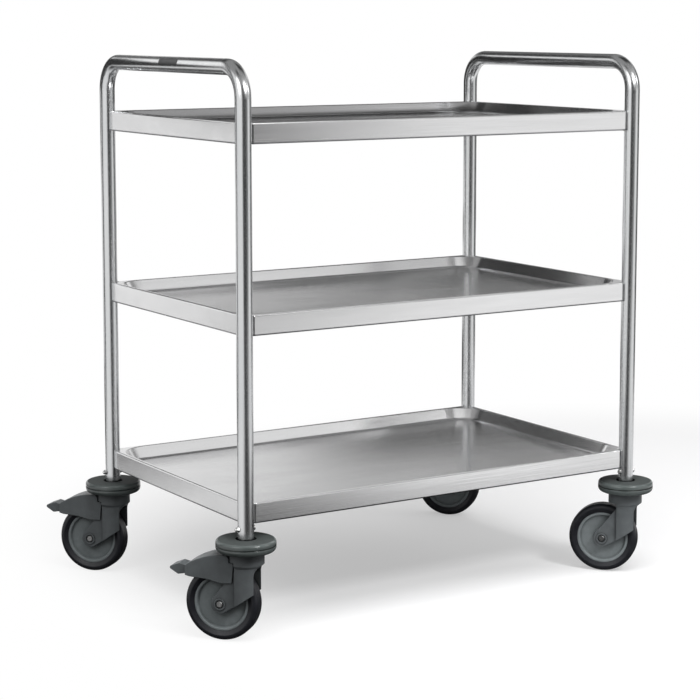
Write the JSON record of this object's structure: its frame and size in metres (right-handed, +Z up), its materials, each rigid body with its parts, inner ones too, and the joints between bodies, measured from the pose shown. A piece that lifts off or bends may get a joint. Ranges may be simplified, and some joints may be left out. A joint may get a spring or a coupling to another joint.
{
  "type": "serving trolley",
  "caption": "Free-standing stainless serving trolley: pressed tray shelves between bent-tube end frames that form push handles, on swivel castors with bumper discs and foot brakes.",
  "frame": {"origin": "middle of the overall box on the floor, with the castors trailing as in the picture", "axes": "+X along the shelves towards the end without brakes, +Y across the shelves to the back, +Z up"},
  "size_m": [0.9446, 0.656, 0.95],
  "materials": {
    "stainless_tube": "polished stainless steel tube",
    "stainless_sheet": "brushed stainless steel sheet",
    "deadening_mat": "light grey sound-deadening mat",
    "stainless_fasteners": "bright stainless steel",
    "plated_steel": "zinc-plated steel",
    "bumper_plastic": "satin dark grey plastic",
    "castor_plastic": "satin dark grey plastic",
    "tread_rubber": "dull near-black rubber"
  },
  "bodies": {
    "trolley": {"left_end_frame": "stainless_tube", "right_end_frame": "stainless_tube", "bottom_shelf": "stainless_sheet", "bottom_shelf_pad": "deadening_mat", "middle_shelf": "stainless_sheet", "middle_shelf_pad": "deadening_mat", "top_shelf": "stainless_sheet", "top_shelf_pad": "deadening_mat", "stem_bolts": "stainless_fasteners", "stem_cap_nuts": "stainless_fasteners", "front_left_stem": "plated_steel", "front_left_bumper": "bumper_plastic", "front_right_stem": "plated_steel", "front_right_bumper": "bumper_plastic", "back_left_stem": "plated_steel", "back_left_bumper": "bumper_plastic", "back_right_stem": "plated_steel", "back_right_bumper": "bumper_plastic"},
    "front_left_castor": {"front_left_fork": "castor_plastic", "front_left_swivel_bearing": "plated_steel", "front_left_axle": "plated_steel", "front_left_pedal_pin": "plated_steel"},
    "front_left_wheel": {"front_left_hub": "castor_plastic", "front_left_tyre": "tread_rubber", "front_left_wheel_bearings": "plated_steel"},
    "front_left_brake": {"front_left_brake_pedal": "castor_plastic", "front_left_brake_shoe": "tread_rubber"},
    "front_right_castor": {"front_right_fork": "castor_plastic", "front_right_swivel_bearing": "plated_steel", "front_right_axle": "plated_steel"},
    "front_right_wheel": {"front_right_hub": "castor_plastic", "front_right_tyre": "tread_rubber", "front_right_wheel_bearings": "plated_steel"},
    "back_left_castor": {"back_left_fork": "castor_plastic", "back_left_swivel_bearing": "plated_steel", "back_left_axle": "plated_steel", "back_left_pedal_pin": "plated_steel"},
    "back_left_wheel": {"back_left_hub": "castor_plastic", "back_left_tyre": "tread_rubber", "back_left_wheel_bearings": "plated_steel"},
    "back_left_brake": {"back_left_brake_pedal": "castor_plastic", "back_left_brake_shoe": "tread_rubber"},
    "back_right_castor": {"back_right_fork": "castor_plastic", "back_right_swivel_bearing": "plated_steel", "back_right_axle": "plated_steel"},
    "back_right_wheel": {"back_right_hub": "castor_plastic", "back_right_tyre": "tread_rubber", "back_right_wheel_bearings": "plated_steel"}
  },
  "joints": [
    {"name": "front_left_swivel", "type": "hinge", "parent": "trolley", "child": "front_left_castor", "pos_m": [-0.37769, -0.27799, 0.14], "axis": [0, 0, 1], "continuous": true},
    {"name": "front_left_roll", "type": "hinge", "parent": "front_left_castor", "child": "front_left_wheel", "pos_m": [-0.40328, -0.24856, 0.0625], "axis": [-0.7547, -0.6561, 0], "continuous": true},
    {"name": "front_left_brake_pedal", "type": "hinge", "parent": "front_left_castor", "child": "front_left_brake", "pos_m": [-0.3918, -0.26176, 0.1285], "axis": [-0.7547, -0.6561, 0], "range_deg": [0, 7]},
    {"name": "front_right_swivel", "type": "hinge", "parent": "trolley", "child": "front_right_castor", "pos_m": [0.42231, -0.27799, 0.14], "axis": [0, 0, 1], "continuous": true},
    {"name": "front_right_roll", "type": "hinge", "parent": "front_right_castor", "child": "front_right_wheel", "pos_m": [0.39672, -0.24856, 0.0625], "axis": [-0.7547, -0.6561, 0], "continuous": true},
    {"name": "back_left_swivel", "type": "hinge", "parent": "trolley", "child": "back_left_castor", "pos_m": [-0.37769, 0.22201, 0.14], "axis": [0, 0, 1], "continuous": true},
    {"name": "back_left_roll", "type": "hinge", "parent": "back_left_castor", "child": "back_left_wheel", "pos_m": [-0.40328, 0.25144, 0.0625], "axis": [-0.7547, -0.6561, 0], "continuous": true},
    {"name": "back_left_brake_pedal", "type": "hinge", "parent": "back_left_castor", "child": "back_left_brake", "pos_m": [-0.3918, 0.23824, 0.1285], "axis": [-0.7547, -0.6561, 0], "range_deg": [0, 7]},
    {"name": "back_right_swivel", "type": "hinge", "parent": "trolley", "child": "back_right_castor", "pos_m": [0.42231, 0.22201, 0.14], "axis": [0, 0, 1], "continuous": true},
    {"name": "back_right_roll", "type": "hinge", "parent": "back_right_castor", "child": "back_right_wheel", "pos_m": [0.39672, 0.25144, 0.0625], "axis": [-0.7547, -0.6561, 0], "continuous": true}
  ]
}
